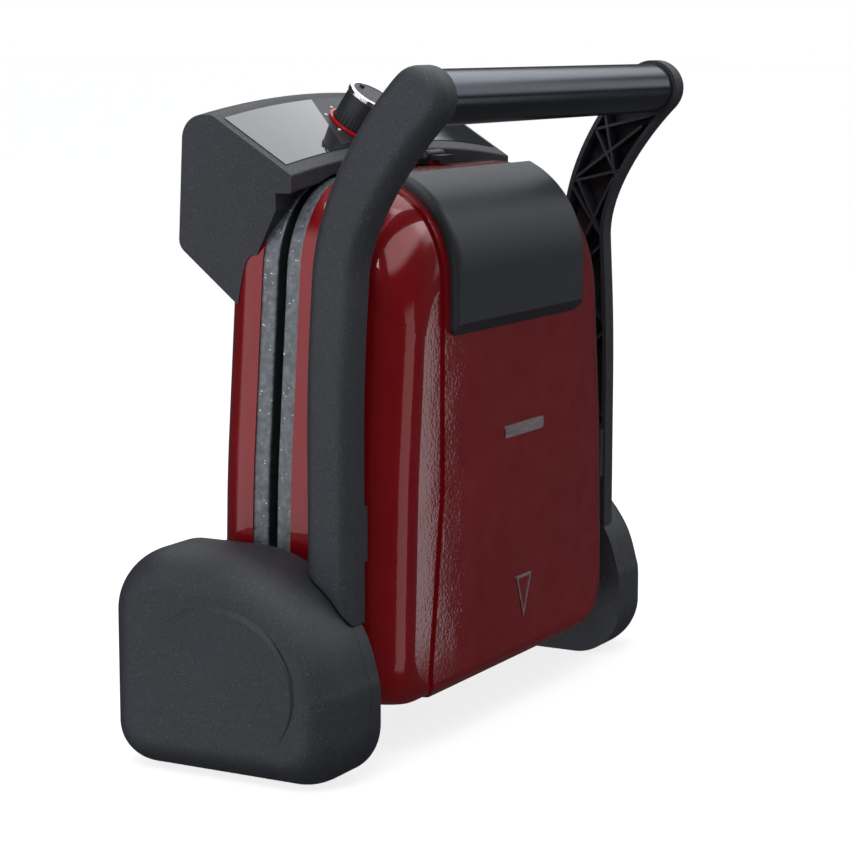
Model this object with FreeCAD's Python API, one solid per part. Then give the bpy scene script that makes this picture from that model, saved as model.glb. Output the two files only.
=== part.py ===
# Contact grill (sandwich press) standing upright on its hinge pods, lid closed.
# Millimetres.  X runs along the handle bar, -Y is the outside of the lid,
# +Y is the underside of the base, +Z is up and Z = 0 is the bottom of the pods.
import FreeCAD
import Part
import math
import os

V = FreeCAD.Vector
os.makedirs("parts", exist_ok=True)

# ---------------------------------------------------------------- overall sizes
OVERALL_WIDTH = 396.4        # outside of one pod cover to the other
OVERALL_HEIGHT = 366.0       # pods' bottom to the top of the arm ends
OVERALL_DEPTH = 180.8        # front of the arm ends to the counter feet
BODY_WIDTH_LOW = 281.0       # lid and base width at the hinge end
BODY_WIDTH_WAIST = 272.0     # width where the sides start to lean in
BODY_WIDTH_HIGH = 241.0      # lid and base width at the handle end
BODY_BOTTOM = 30.0           # height of the lid and base rear edge
BODY_WAIST_Z = 150.0
BODY_TOP = 306.5             # height of the lid and base front edge
BODY_SIDE_BEND = 600.0       # radius that blends the two side slopes
BODY_CORNER_LOW = 24.0       # outline corner radius at the hinge end
BODY_CORNER_HIGH = 52.0      # outline corner radius at the handle end

# ---------------------------------------------------------------- hinge
HINGE_Z = 25.5
PLATE_GAP = 4.5              # between the two plate rims when closed
GAP_MIDDLE_Y = 20.0
HINGE_Y = GAP_MIDDLE_Y
HINGE_PIN_R = 6.0
RUNNING = 0.06               # radial running clearance on pins
CLEAR = 0.4                  # gap between neighbouring moulded parts
SCREW_FIT = 0.02             # radial room round a screw in its post
FRAME_FIT = 0.15             # between the lid frame's corners and the shell
SMALL = 0.2

# ---------------------------------------------------------------- lid and base
PLATE_DEPTH = 9.4            # visible depth of each granite rim
PLATE_RECESS = 2.6           # cooking surface below the rim
PLATE_BORDER = 9.0           # width of the rim round the cooking surface
PLATE_FLOOR = 3.2
RIM_FILLET = 1.6
RIB_PITCH = 14.0
RIB_WIDTH = 5.0
RIB_HEIGHT = 2.0
LID_DEPTH = 61.5             # lid shell, rim to outer face
BASE_DEPTH = 26.0            # base shell, rim to underside
SHELL_WALL = 2.4
LID_SIDE_ROUND = 27.0
LID_TOP_ROUND = 52.0
LID_RIM_STRAIGHT = 9.5       # least straight wall between the lid's rim and its top round
LID_BOTTOM_ROUND = 9.0
BASE_SIDE_ROUND = 21.0
BASE_TOP_ROUND = 19.0
BASE_BOTTOM_ROUND = 9.0
PANEL_RAISE = 1.5            # raised centre panel of the lid
PANEL_HALF_HIGH = 83.0
PANEL_HALF_LOW = 98.0
PAD_THICK = 6.0              # rest pad over the lid's front edge
PAD_HALF = 77.0
PAD_BOTTOM = 223.0
PAD_BEVEL_LOW = 8.0
PAD_BEVEL_SIDE = 4.0
PAD_BACK_Y = -26.0

LID_PLATE_FACE = GAP_MIDDLE_Y - PLATE_GAP / 2
BASE_PLATE_FACE = GAP_MIDDLE_Y + PLATE_GAP / 2
LID_RIM = LID_PLATE_FACE - PLATE_DEPTH
BASE_RIM = BASE_PLATE_FACE + PLATE_DEPTH
LID_FACE = LID_RIM - LID_DEPTH
BASE_FACE = BASE_RIM + BASE_DEPTH

# ---------------------------------------------------------------- handle
BAR_R = 14.25
BAR_WALL = 1.8
BAR_SOCKET = 8.0
ARM_END_R = BAR_R + 2.05
BOX_HALF = 124.5             # half width of the control box
ARM_BOX_GAP = 12.3           # from the control box out to the arms at the bar
ARM_INNER_X = BOX_HALF + ARM_BOX_GAP
BODY_SIDE_GAP = 1.9          # between the body's widest side and the handle's webs
WEB_THICK = 4.6
WEB_INNER_X = max(BODY_WIDTH_LOW, BODY_WIDTH_WAIST, BODY_WIDTH_HIGH) / 2 + BODY_SIDE_GAP
WEB_OUTER_X = WEB_INNER_X + WEB_THICK
ARM_LOW_X = WEB_OUTER_X      # below the bow, beside the body
ARM_BOW_TOP_Z = 300.0
ARM_BOW_LOW_Z = 205.0
ARM_BOW_R = 550.0
ARM_WIDTH = 17.0
BAR_Z = OVERALL_HEIGHT - ARM_END_R
BAR_Y = -OVERALL_DEPTH / 2 + ARM_END_R
ARM_FRONT_Y = -42.4
ARM_BACK_Y = -15.6
ARM_BEND_Z = 259.0
ARM_ROUND = 7.5
ARM_WALL = 2.6
ARM_SKIN = 3.4
ARM_RIB = 1.6
HUB_R = 22.0
TRUNNION_Y = -16.0
TRUNNION_Z = 69.0
TRUNNION_R = 5.0
TRUNNION_HUB_R = 13.0

# ---------------------------------------------------------------- pods
POD_WEB_GAP = 1.2
POD_HOUSING_WIDTH = 10.0
POD_INNER_X = WEB_OUTER_X + POD_WEB_GAP
POD_SPLIT_X = POD_INNER_X + POD_HOUSING_WIDTH
POD_OUTER_X = OVERALL_WIDTH / 2
POD_FRONT_Y = -52.5
POD_BACK_Y = 88.4
POD_TOP_Z = 117.0
POD_WALL = 3.0
POD_ROUND = 19.0             # how far the cover's edge rolls in
POD_ROLL = 27.0              # how deep the roll runs along X
POD_CORNER_FRONT = 30.0
POD_CORNER_BACK = 24.0
POD_CORNER_TOP = 34.0
EMBOSS = 1.8
ARM_POD_GAP = 1.4

# ---------------------------------------------------------------- control box
BOX_BACK_Y = 84.8
BOX_FRONT_Y = 18.3
BOX_LOW_FRONT_Z = 299.0
BOX_LOW_Z = 238.5
BOX_BACK_LOW_Z = 269.0
BOX_TOP_Z = 339.0
BOX_TOP_Y = 66.0
BOX_EDGE_Z = 308.4
BOX_CROWN = 9.0              # how far the sloping top bulges along X
BOX_ROUND = 13.0
BOX_WALL = 2.6
BOX_LEG_Y = 47.0             # lowest corner of the box's sides

# ---------------------------------------------------------------- knob
KNOB_R = 15.5
KNOB_H = 17.0
KNOB_RING_H = 3.0
KNOB_RIDGES = 36
KNOB_X = -22.0
KNOB_GAP = 0.8
SHAFT_R = 3.0


def half_width(z):
    """Half width of the lid and base outline at height z."""
    if z < BODY_WAIST_Z:
        part = (z - BODY_BOTTOM) / (BODY_WAIST_Z - BODY_BOTTOM)
        return (BODY_WIDTH_LOW + (BODY_WIDTH_WAIST - BODY_WIDTH_LOW) * part) / 2
    part = (z - BODY_WAIST_Z) / (BODY_TOP - BODY_WAIST_Z)
    return (BODY_WIDTH_WAIST + (BODY_WIDTH_HIGH - BODY_WIDTH_WAIST) * part) / 2


def box(x0, x1, y0, y1, z0, z1):
    return Part.makeBox(x1 - x0, y1 - y0, z1 - z0, V(x0, y0, z0))


def rod(x, y, z, direction, length, radius):
    return Part.makeCylinder(radius, length, V(x, y, z), direction)


def ring(x, y, z, direction, length, outer, inner):
    return rod(x, y, z, direction, length, outer).cut(rod(x, y, z, direction, length, inner))


def on_xz(y):
    return lambda a, b: V(a, y, b)


def on_yz(x):
    return lambda a, b: V(x, a, b)


def rounded(corners, radii, place):
    """Closed wire through the corners, each one rounded by its radius."""
    count = len(corners)
    starts = []
    ends = []
    mids = []
    for i in range(count):
        before = corners[i - 1]
        here = corners[i]
        after = corners[(i + 1) % count]
        ax = before[0] - here[0]
        ay = before[1] - here[1]
        bx = after[0] - here[0]
        by = after[1] - here[1]
        la = math.hypot(ax, ay)
        lb = math.hypot(bx, by)
        ax = ax / la
        ay = ay / la
        bx = bx / lb
        by = by / lb
        half = math.acos(max(-1.0, min(1.0, ax * bx + ay * by))) / 2
        reach = radii[i] / math.tan(half)
        starts.append((here[0] + ax * reach, here[1] + ay * reach))
        ends.append((here[0] + bx * reach, here[1] + by * reach))
        mx = ax + bx
        my = ay + by
        lm = math.hypot(mx, my)
        away = radii[i] / math.sin(half) - radii[i]
        mids.append((here[0] + mx / lm * away, here[1] + my / lm * away))
    edges = []
    for i in range(count):
        if radii[i] > 0:
            edges.append(Part.Arc(place(*starts[i]), place(*mids[i]), place(*ends[i])).toShape())
        following = starts[(i + 1) % count]
        if math.hypot(following[0] - ends[i][0], following[1] - ends[i][1]) > 1e-6:
            edges.append(Part.makeLine(place(*ends[i]), place(*following)))
    return Part.Wire(edges)


def slab(wire, direction):
    return Part.Face(wire).extrude(direction)


def body_outline(y, side, top, bottom, grow=0.0):
    """Outline of the lid or base at depth y, moved in by side, top and bottom."""
    z0 = BODY_BOTTOM + bottom - grow
    z1 = BODY_TOP - top + grow
    low = half_width(z0) - side + grow
    waist = BODY_WIDTH_WAIST / 2 - side + grow
    high = half_width(z1) - side + grow
    # corner radii shrink with the inset, so that every section keeps its arcs
    r_low = max(BODY_CORNER_LOW - min(side, bottom) * 0.5, 6.0)
    r_high = max(BODY_CORNER_HIGH - min(side, top) * 0.5, 10.0)
    corners = [(-low, z0), (low, z0), (waist, BODY_WAIST_Z), (high, z1), (-high, z1), (-waist, BODY_WAIST_Z)]
    bend = BODY_SIDE_BEND
    return rounded(corners, [r_low, r_low, bend, r_high, r_high, bend], on_xz(y))


def pillow(rim, depth, outward, side_r, top_r, bottom_r, grow=0.0):
    """Solid with a full outline at the rim and rounded edges at its outer face.
    outward is -1 for the lid and +1 for the base."""
    wires = [body_outline(rim, 0.0, 0.0, 0.0, grow)]
    face = depth + grow
    steps = 9
    start = depth - max(side_r, top_r, bottom_r)
    wires.append(body_outline(rim + outward * start, 0.0, 0.0, 0.0, grow))
    for i in range(1, steps + 1):
        turn = math.pi / 2 * i / steps
        reach = start + (face - start) * math.sin(turn)
        insets = []
        for radius in (side_r, top_r, bottom_r):
            room = radius + grow
            inside = max(0.0, reach - (face - room))
            insets.append(room - math.sqrt(max(0.0, room * room - inside * inside)))
        wires.append(body_outline(rim + outward * reach, insets[0], insets[1], insets[2], grow))
    straight = Part.makeLoft(wires[:2], True, True)
    cap = Part.makeLoft(wires[1:], True, False)
    return straight.fuse(cap)


def lid_form(grow=0.0):
    top_round = min(LID_TOP_ROUND, LID_DEPTH - LID_RIM_STRAIGHT)
    return pillow(LID_RIM, LID_DEPTH, -1, LID_SIDE_ROUND, top_round, LID_BOTTOM_ROUND, grow)


def base_form(grow=0.0):
    return pillow(BASE_RIM, BASE_DEPTH, 1, BASE_SIDE_ROUND, BASE_TOP_ROUND, BASE_BOTTOM_ROUND, grow)



def inset(corners, distance):
    """Corners of a counter-clockwise polygon moved inwards by distance."""
    moved = []
    count = len(corners)
    for i in range(count):
        ax, ay = corners[i - 1]
        bx, by = corners[i]
        cx, cy = corners[(i + 1) % count]
        l1 = math.hypot(bx - ax, by - ay)
        l2 = math.hypot(cx - bx, cy - by)
        n1 = (-(by - ay) / l1, (bx - ax) / l1)
        n2 = (-(cy - by) / l2, (cx - bx) / l2)
        scale = distance / (1.0 + n1[0] * n2[0] + n1[1] * n2[1])
        moved.append((bx + (n1[0] + n2[0]) * scale, by + (n1[1] + n2[1]) * scale))
    return moved


def mirror_x(shape):
    return shape.mirror(V(0, 0, 0), V(1, 0, 0))


def joined(shapes):
    first = shapes[0]
    if len(shapes) == 1:
        return first
    return first.multiFuse(shapes[1:]).removeSplitter()


def save(name, shape):
    solids = shape.Solids
    if not shape.isValid() or len(solids) == 0:
        print("PROBLEM", name, shape.isValid(), len(solids))
    shape.exportStep("parts/" + name + ".step")
    b = shape.BoundBox
    print("%-22s solids %d  vol %9.0f  x %.1f %.1f  y %.1f %.1f  z %.1f %.1f" % (
        name, len(solids), shape.Volume, b.XMin, b.XMax, b.YMin, b.YMax, b.ZMin, b.ZMax))


def bounded_fillet(shape, radius, wanted):
    edges = [e for e in shape.Edges if wanted(e)]
    return shape.makeFillet(radius, edges)


def screws(places, direction, head_r, head_h, shank_r, shank_l):
    """Pan head screws: the head's top is at each place, the shank goes along direction."""
    made = []
    for x, y, z in places:
        head = rod(x, y, z, direction, head_h, head_r)
        shank = rod(x, y, z, direction, head_h + shank_l, shank_r)
        slot_a = Part.makeBox(head_r * 1.1, head_r * 0.28, head_r * 0.28)
        slot_a.translate(V(-head_r * 0.55, -head_r * 0.14, -head_r * 0.14))
        slot_b = slot_a.copy()
        turn = FreeCAD.Rotation(V(0, 0, 1), direction)
        slot_b.rotate(V(0, 0, 0), V(0, 0, 1), 90)
        cross = slot_a.fuse(slot_b)
        cross.Placement = FreeCAD.Placement(V(x, y, z), turn)
        made.append(head.fuse(shank).cut(cross))
    return Part.makeCompound(made)


# ================================================================ grill plates
def plate(face_y, back_y, into):
    """Granite plate: rim, recessed ribbed cooking surface, hollow back.
    into is the direction from the face to the back, -1 for the lid."""
    deep = back_y - face_y
    rim = Part.Face(body_outline(face_y, 0.0, 0.0, 0.0, -1.0)).extrude(V(0, deep, 0))
    rim = bounded_fillet(rim, RIM_FILLET,
                         lambda e: max(abs(e.BoundBox.YMin - face_y), abs(e.BoundBox.YMax - face_y)) < 0.01)
    inner = -1.0 - PLATE_BORDER
    recess = Part.Face(body_outline(face_y - into, 0.0, 0.0, 0.0, inner))
    recess = recess.extrude(V(0, into * (PLATE_RECESS + 1.0), 0))
    floor_back = face_y + into * (PLATE_RECESS + PLATE_FLOOR)
    hollow = Part.Face(body_outline(floor_back, 0.0, 0.0, 0.0, inner + 3.0))
    hollow = hollow.extrude(V(0, back_y + into - floor_back, 0))
    body = rim.cut(recess).cut(hollow)
    ribs = []
    count = int((BODY_WIDTH_HIGH - 4 * PLATE_BORDER) / RIB_PITCH / 2)
    for i in range(-count, count + 1):
        x = i * RIB_PITCH
        inside = abs(x) > BODY_WIDTH_HIGH / 2 - BODY_CORNER_HIGH
        top = BODY_TOP - PLATE_BORDER - (BODY_CORNER_HIGH * 0.62 if inside else 14.0)
        foot = face_y + into * (PLATE_RECESS + SMALL)
        tip = face_y + into * (PLATE_RECESS - RIB_HEIGHT)
        ribs.append(box(x - RIB_WIDTH / 2, x + RIB_WIDTH / 2, min(foot, tip), max(foot, tip),
                        BODY_BOTTOM + PLATE_BORDER + 12.0, top))
    return joined([body] + ribs)


SPOUT_PROUD = 1.2


def spout(face_y, into, x):
    """Small grease lip on the rim's outer edge at the handle end."""
    low = BODY_TOP - 3.0
    lip = box(x - 9.0, x + 9.0, min(face_y, face_y + into * 5.0), max(face_y, face_y + into * 5.0),
              low, BODY_TOP + SPOUT_PROUD)
    notch = box(x - 6.0, x + 6.0, min(face_y - into, face_y + into * 2.6), max(face_y - into, face_y + into * 2.6),
                BODY_TOP - PLATE_BORDER - 4.0, BODY_TOP + 3.0)
    return lip, notch


lid_plate = plate(LID_PLATE_FACE, LID_RIM, -1)
base_plate = plate(BASE_PLATE_FACE, BASE_RIM, 1)
SPOUT_X = -44.0
lip, notch = spout(BASE_PLATE_FACE, 1, SPOUT_X)
base_plate = base_plate.fuse(lip).cut(notch).removeSplitter()
save("lid_grill_plate", lid_plate)
save("base_grill_plate", base_plate)


# ================================================================ heaters and reflectors
def heater(y):
    """Tubular element bent into a wide U with cold ends at the hinge end."""
    r = 3.2
    half = BODY_WIDTH_HIGH / 2 - 34.0
    low = BODY_BOTTOM + 30.0
    high = BODY_TOP - 42.0
    bend = 26.0
    inner = 34.0
    pieces = []
    for side in (-1, 1):
        pieces.append(rod(side * half, y, low + bend, V(0, 0, 1), high - low - 2 * bend, r))
        turn = Part.makeTorus(bend, r, V(side * (half - bend), y, high - bend), V(0, 1, 0), -180, 180, 360)
        keep = box(min(side * (half - bend), side * (half + 8)), max(side * (half - bend), side * (half + 8)),
                   y - 8, y + 8, high - bend, high + 8)
        pieces.append(turn.common(keep))
        turn = Part.makeTorus(bend, r, V(side * (half - bend), y, low + bend), V(0, 1, 0), -180, 180, 360)
        keep = box(min(side * (half - bend), side * (half + 8)), max(side * (half - bend), side * (half + 8)),
                   y - 8, y + 8, low - 8, low + bend)
        pieces.append(turn.common(keep))
        start = min(side * inner, side * (half - bend))
        pieces.append(rod(start, y, low, V(1, 0, 0), half - bend - inner, r))
    pieces.append(rod(-(half - bend), y, high, V(1, 0, 0), 2 * (half - bend), r))
    return joined(pieces)


def reflector(y, into):
    """Shallow sheet-metal tray behind the heater."""
    skin = 0.8
    y0 = y
    tray = Part.Face(body_outline(y0, 0.0, 0.0, 0.0, -19.0)).extrude(V(0, into * 5.0, 0))
    pocket = Part.Face(body_outline(y0 - into, 0.0, 0.0, 0.0, -19.0 - skin)).extrude(V(0, into * (6.0 - skin), 0))
    return tray.cut(pocket)


save("lid_heater", heater(LID_RIM))
save("base_heater", heater(BASE_RIM))
save("lid_reflector", reflector(LID_RIM - 4.0, -1))
save("base_reflector", reflector(BASE_RIM + 4.0, 1))

# ================================================================ lid
lid_outer = lid_form()
panel_corners = [(-PANEL_HALF_LOW, BODY_BOTTOM - 4.0), (PANEL_HALF_LOW, BODY_BOTTOM - 4.0),
                 (PANEL_HALF_HIGH, BODY_BOTTOM + 110.0), (PANEL_HALF_HIGH, BODY_TOP + 4.0),
                 (-PANEL_HALF_HIGH, BODY_TOP + 4.0), (-PANEL_HALF_HIGH, BODY_BOTTOM + 110.0)]
panel_prism = slab(rounded(panel_corners, [16.0, 16.0, 60.0, 1.0, 1.0, 60.0], on_xz(LID_FACE - 6.0)),
                   V(0, LID_DEPTH + 3.0, 0))
panel_body = lid_form(PANEL_RAISE).common(panel_prism)
lid_shell = lid_outer.fuse(panel_body).cut(lid_form(-SHELL_WALL))
for side in (-1, 1):
    boss = rod(side * (half_width(TRUNNION_Z) - 9.0), TRUNNION_Y, TRUNNION_Z, V(side, 0, 0), 8.0, TRUNNION_R + 3.0)
    hole = rod(side * (half_width(TRUNNION_Z) - 12.0), TRUNNION_Y, TRUNNION_Z, V(side, 0, 0), 20.0, TRUNNION_R)
    lid_shell = lid_shell.fuse(boss).cut(hole)
FRAME_DEPTH = 16.0
FRAME_FLOOR = 2.0
LID_SCREW_R = 1.6
LID_SCREW_HEAD = 2.0
LID_SCREW_X = 62.0
LID_SCREW_Y = LID_RIM - FRAME_DEPTH + FRAME_FLOOR + LID_SCREW_HEAD
frame_y = LID_RIM - FRAME_DEPTH
lid_posts = []
lid_screw_places = []
for x in (-LID_SCREW_X, LID_SCREW_X):
    for z in (BODY_BOTTOM + 22.0, BODY_TOP - 30.0):
        lid_screw_places.append((x, LID_SCREW_Y, z))
        lid_posts.append(ring(x, LID_FACE, z, V(0, 1, 0), frame_y - 0.3 - LID_FACE, 4.2, LID_SCREW_R + SCREW_FIT))
lid_inside = lid_form(0.5 - SHELL_WALL)
lid_shell = joined([lid_shell] + [post.common(lid_inside) for post in lid_posts])

lid_frame = Part.Face(body_outline(frame_y, 0.0, 0.0, 0.0, -SHELL_WALL - CLEAR)).extrude(V(0, FRAME_DEPTH - CLEAR, 0))
lid_frame = lid_frame.common(lid_form(-SHELL_WALL - FRAME_FIT))
frame_pocket = body_outline(frame_y + FRAME_FLOOR, 0.0, 0.0, 0.0, -SHELL_WALL - CLEAR - 2.2)
lid_frame = lid_frame.cut(Part.Face(frame_pocket).extrude(V(0, FRAME_DEPTH, 0)))
lid_frame = lid_frame.cut(Part.Face(body_outline(frame_y - 1.0, 0.0, 0.0, 0.0, -46.0)).extrude(V(0, 5, 0)))
for side in (-1, 1):
    lid_frame = lid_frame.cut(rod(side * (BODY_WIDTH_LOW / 2 - 24.0), TRUNNION_Y, TRUNNION_Z,
                                  V(side, 0, 0), 30.0, TRUNNION_R + 4.5))
for x, y, z in lid_screw_places:
    lid_frame = lid_frame.cut(rod(x, y, z, V(0, -1, 0), 8.0, 1.9))
save("lid_frame", lid_frame)

pad_outer = lid_form(PANEL_RAISE + PAD_THICK)
pad_corners = [(-PAD_HALF, PAD_BOTTOM), (PAD_HALF, PAD_BOTTOM), (PAD_HALF, BODY_TOP + 20), (-PAD_HALF, BODY_TOP + 20)]
pad_prism = slab(rounded(pad_corners, [5.0, 5.0, 1.0, 1.0], on_xz(LID_FACE - 20.0)),
                 V(0, PAD_BACK_Y - LID_FACE + 20.0, 0))
pad = pad_outer.common(pad_prism).cut(lid_form(PANEL_RAISE))
PAD_OUT_Y = LID_FACE - PANEL_RAISE - PAD_THICK
PAD_ON_Y = LID_FACE - PANEL_RAISE


def pad_rim(edge):
    middle = edge.valueAt((edge.FirstParameter + edge.LastParameter) / 2)
    outside = edge.BoundBox.YMin < PAD_OUT_Y + 1.0
    return outside and abs(middle.x) > PAD_HALF - 5.5 and middle.z > PAD_BOTTOM + 6.0


pad = bounded_fillet(pad, PAD_BEVEL_SIDE, pad_rim)
LEAN = 5.0
bevel = Part.makePolygon([V(-PAD_HALF - LEAN, PAD_ON_Y, PAD_BOTTOM - SMALL),
                          V(-PAD_HALF - LEAN, PAD_OUT_Y - 1.0, PAD_BOTTOM + PAD_BEVEL_LOW),
                          V(-PAD_HALF - LEAN, PAD_OUT_Y - LEAN, PAD_BOTTOM - LEAN),
                          V(-PAD_HALF - LEAN, PAD_ON_Y, PAD_BOTTOM - SMALL)])
pad = pad.cut(slab(bevel, V(2 * (PAD_HALF + LEAN), 0, 0)))
save("rest_pad", pad)

# plain badge strip and plain triangle set on the lid's centre panel
BADGE_X = 11.0
BADGE_Z = 163.0
badge = box(BADGE_X - 24.0, BADGE_X + 24.0, PAD_ON_Y - 0.5, PAD_ON_Y, BADGE_Z - 3.4, BADGE_Z + 3.4)
badge = bounded_fillet(badge, 2.0, lambda e: abs(e.BoundBox.YLength - 0.5) < 0.01)
MARK_TOP_Z = 78.5
MARK_HALF = 9.5
MARK_TALL = 25.0
tri = [(BADGE_X, MARK_TOP_Z - MARK_TALL), (BADGE_X + MARK_HALF, MARK_TOP_Z), (BADGE_X - MARK_HALF, MARK_TOP_Z)]
mark = slab(rounded(tri, [0.4, 0.4, 0.4], on_xz(PAD_ON_Y)), V(0, -0.5, 0))
mark = mark.cut(slab(rounded(inset(tri, 1.5), [0.2, 0.2, 0.2], on_xz(PAD_ON_Y + 1)), V(0, -3, 0)))
save("lid_badge", Part.makeCompound([badge, mark]))

trunnions = []
for side in (-1, 1):
    reach = POD_INNER_X - 1.2
    start = half_width(TRUNNION_Z) - 12.0
    pin = rod(side * start, TRUNNION_Y, TRUNNION_Z, V(side, 0, 0), reach - start, TRUNNION_R)
    trunnions.append(pin)
save("lid_trunnions", Part.makeCompound(trunnions))

save("lid_screws", screws(lid_screw_places, V(0, -1, 0), 3.4, LID_SCREW_HEAD, LID_SCREW_R, 9.0))

# ================================================================ base shell and underside
base_shell = base_form().cut(base_form(-SHELL_WALL))
WING_Y = BASE_FACE + CLEAR
LEG_Y = WING_Y + 22.0
WING_TOP = 103.0
COVER_LOW = BODY_BOTTOM + 16.0
COVER_HIGH = BOX_LOW_Z - 6.0
COVER_HALF = 108.0
window = slab(rounded([(-COVER_HALF + 10, COVER_LOW + 10), (COVER_HALF - 10, COVER_LOW + 10),
                       (COVER_HALF - 10, COVER_HIGH - 10), (-COVER_HALF + 10, COVER_HIGH - 10)],
                      [12.0, 12.0, 12.0, 12.0], on_xz(BASE_FACE - SHELL_WALL - 2)), V(0, 8, 0))
base_shell = base_shell.cut(window)

cover_corners = [(-COVER_HALF, COVER_LOW), (COVER_HALF, COVER_LOW),
                 (COVER_HALF, COVER_HIGH), (-COVER_HALF, COVER_HIGH)]
cover = slab(rounded(cover_corners, [14.0] * 4, on_xz(BASE_FACE + 0.15)), V(0, 3.2, 0))
vents = []
for row in range(2):
    for i in range(9):
        x = (i - 4) * 13.0
        z = COVER_LOW + 46.0 + row * 78.0
        vents.append(slab(rounded([(x - 2.2, z), (x + 2.2, z), (x + 2.2, z + 42), (x - 2.2, z + 42)],
                                  [2.1, 2.1, 2.1, 2.1], on_xz(BASE_FACE - 1)), V(0, 8, 0)))
cover = cover.cut(Part.makeCompound(vents))
# wings that carry the pods, kept outside the sweep of the arm hubs
wings = []
for side in (-1, 1):
    low_x = min(side * (COVER_HALF - 26.0), side * POD_INNER_X)
    high_x = max(side * (COVER_HALF - 26.0), side * POD_INNER_X)
    arm_plate = box(low_x, high_x, BASE_FACE + 0.15, LEG_Y, COVER_LOW, WING_TOP)
    hollow = box(low_x + 2.6, high_x - 2.6, BASE_FACE - 1.0, LEG_Y - 2.6, COVER_LOW + 2.6, WING_TOP - 2.6)
    wings.append(arm_plate.cut(hollow))
cover = joined([cover.cut(joined([w.copy() for w in wings]))] + wings)

cover_screw_places = []
for x in (-COVER_HALF + 7.0, COVER_HALF - 7.0):
    for z in (COVER_HIGH - 7.5, 125.0):
        cover_screw_places.append((x, BASE_FACE + 5.4, z))
for x, y, z in cover_screw_places:
    hole = rod(x, BASE_FACE - 8.0, z, V(0, 1, 0), 20.0, 1.7)
    cover = cover.cut(hole)
    base_shell = base_shell.cut(hole)
save("base_shell", base_shell)
save("base_screws", screws(cover_screw_places, V(0, -1, 0), 3.6, 2.0, 1.6, 8.0))

# ================================================================ control box
def crown(x):
    return BOX_CROWN * (1.0 - (x / BOX_HALF) ** 2)


def box_corners(x):
    up = crown(x)
    return [(BOX_FRONT_Y - 4.6, BOX_EDGE_Z + up), (BOX_FRONT_Y - 4.2, BOX_LOW_FRONT_Z + up),
            (BOX_FRONT_Y + 5.2, BOX_LOW_FRONT_Z + up), (BOX_FRONT_Y + 5.2, BOX_LOW_FRONT_Z - 9.0),
            (BOX_FRONT_Y + 21.0, BOX_LOW_Z + 20.0), (BOX_LEG_Y, BOX_LOW_Z), (BOX_BACK_Y, BOX_BACK_LOW_Z),
            (BOX_BACK_Y - 3.6, BOX_TOP_Z + up), (BOX_TOP_Y - 3.0, BOX_TOP_Z + up)]


BOX_RADII = [1.5, 1.0, 0.5, 0.5, 1.0, 2.0, 8.0, BOX_ROUND, 6.0]
STATIONS = [-1.0, -0.66, -0.33, 0.0, 0.33, 0.66, 1.0]


def cavity_corners(x):
    """Inside of the box: the walls moved in, and the lip over the plates left solid."""
    full = inset(box_corners(x), BOX_WALL)
    edge, ridge, wall = full[0], full[8], full[3]
    rise = (ridge[1] - edge[1]) / (ridge[0] - edge[0])
    return [(wall[0], edge[1] + rise * (wall[0] - edge[0]))] + full[3:]


CAVITY_RADII = [0.4, 0.4, 1.0, 2.0, 5.4, 10.4, 3.4]


def box_loft(half, corners_at, radii):
    wires = []
    for part in STATIONS:
        x = part * half
        wires.append(rounded(corners_at(x), radii, on_yz(x)))
    return Part.makeLoft(wires, True, False)


outer_box = box_loft(BOX_HALF, box_corners, BOX_RADII)
inner_box = box_loft(BOX_HALF - BOX_WALL, cavity_corners, CAVITY_RADII)
plate_zone = Part.Face(body_outline(LID_RIM - 10.0, 0.0, 0.0, 0.0, 1.0)).extrude(V(0, BASE_RIM - LID_RIM + 10.0, 0))
spout_zone = box(SPOUT_X - 10.0, SPOUT_X + 10.0, BASE_PLATE_FACE - 3.0, BASE_PLATE_FACE + 6.0,
                 BODY_TOP - 6.0, BODY_TOP + SPOUT_PROUD + 0.7)
base_zone = base_form(CLEAR)
box_shell = outer_box.cut(inner_box).cut(plate_zone).cut(base_zone).cut(spout_zone)
solids = sorted(box_shell.Solids, key=lambda s: -s.Volume)
box_shell = solids[0]

# the slope that carries the panel, from its low edge to the ridge
SLOPE_Y = BOX_TOP_Y - 3.0 - (BOX_FRONT_Y - 4.6)
SLOPE_Z = BOX_TOP_Z - BOX_EDGE_Z
SLOPE = math.hypot(SLOPE_Y, SLOPE_Z)
ALONG = V(0, SLOPE_Y / SLOPE, SLOPE_Z / SLOPE)
OUT = V(0, -SLOPE_Z / SLOPE, SLOPE_Y / SLOPE)


def on_slope(x, s, h):
    """Point on the sloping face: s up the slope, h above it."""
    foot = V(x, BOX_FRONT_Y - 4.6, BOX_EDGE_Z + crown(x))
    return foot + ALONG * s + OUT * h


def slope_loft(half, s0, s1, h0, h1):
    wires = []
    for part in STATIONS:
        x = part * half
        pts = [on_slope(x, s0, h0), on_slope(x, s1, h0), on_slope(x, s1, h1), on_slope(x, s0, h1)]
        pts.append(pts[0])
        wires.append(Part.makePolygon(pts))
    return Part.makeLoft(wires, True, False)


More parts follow.
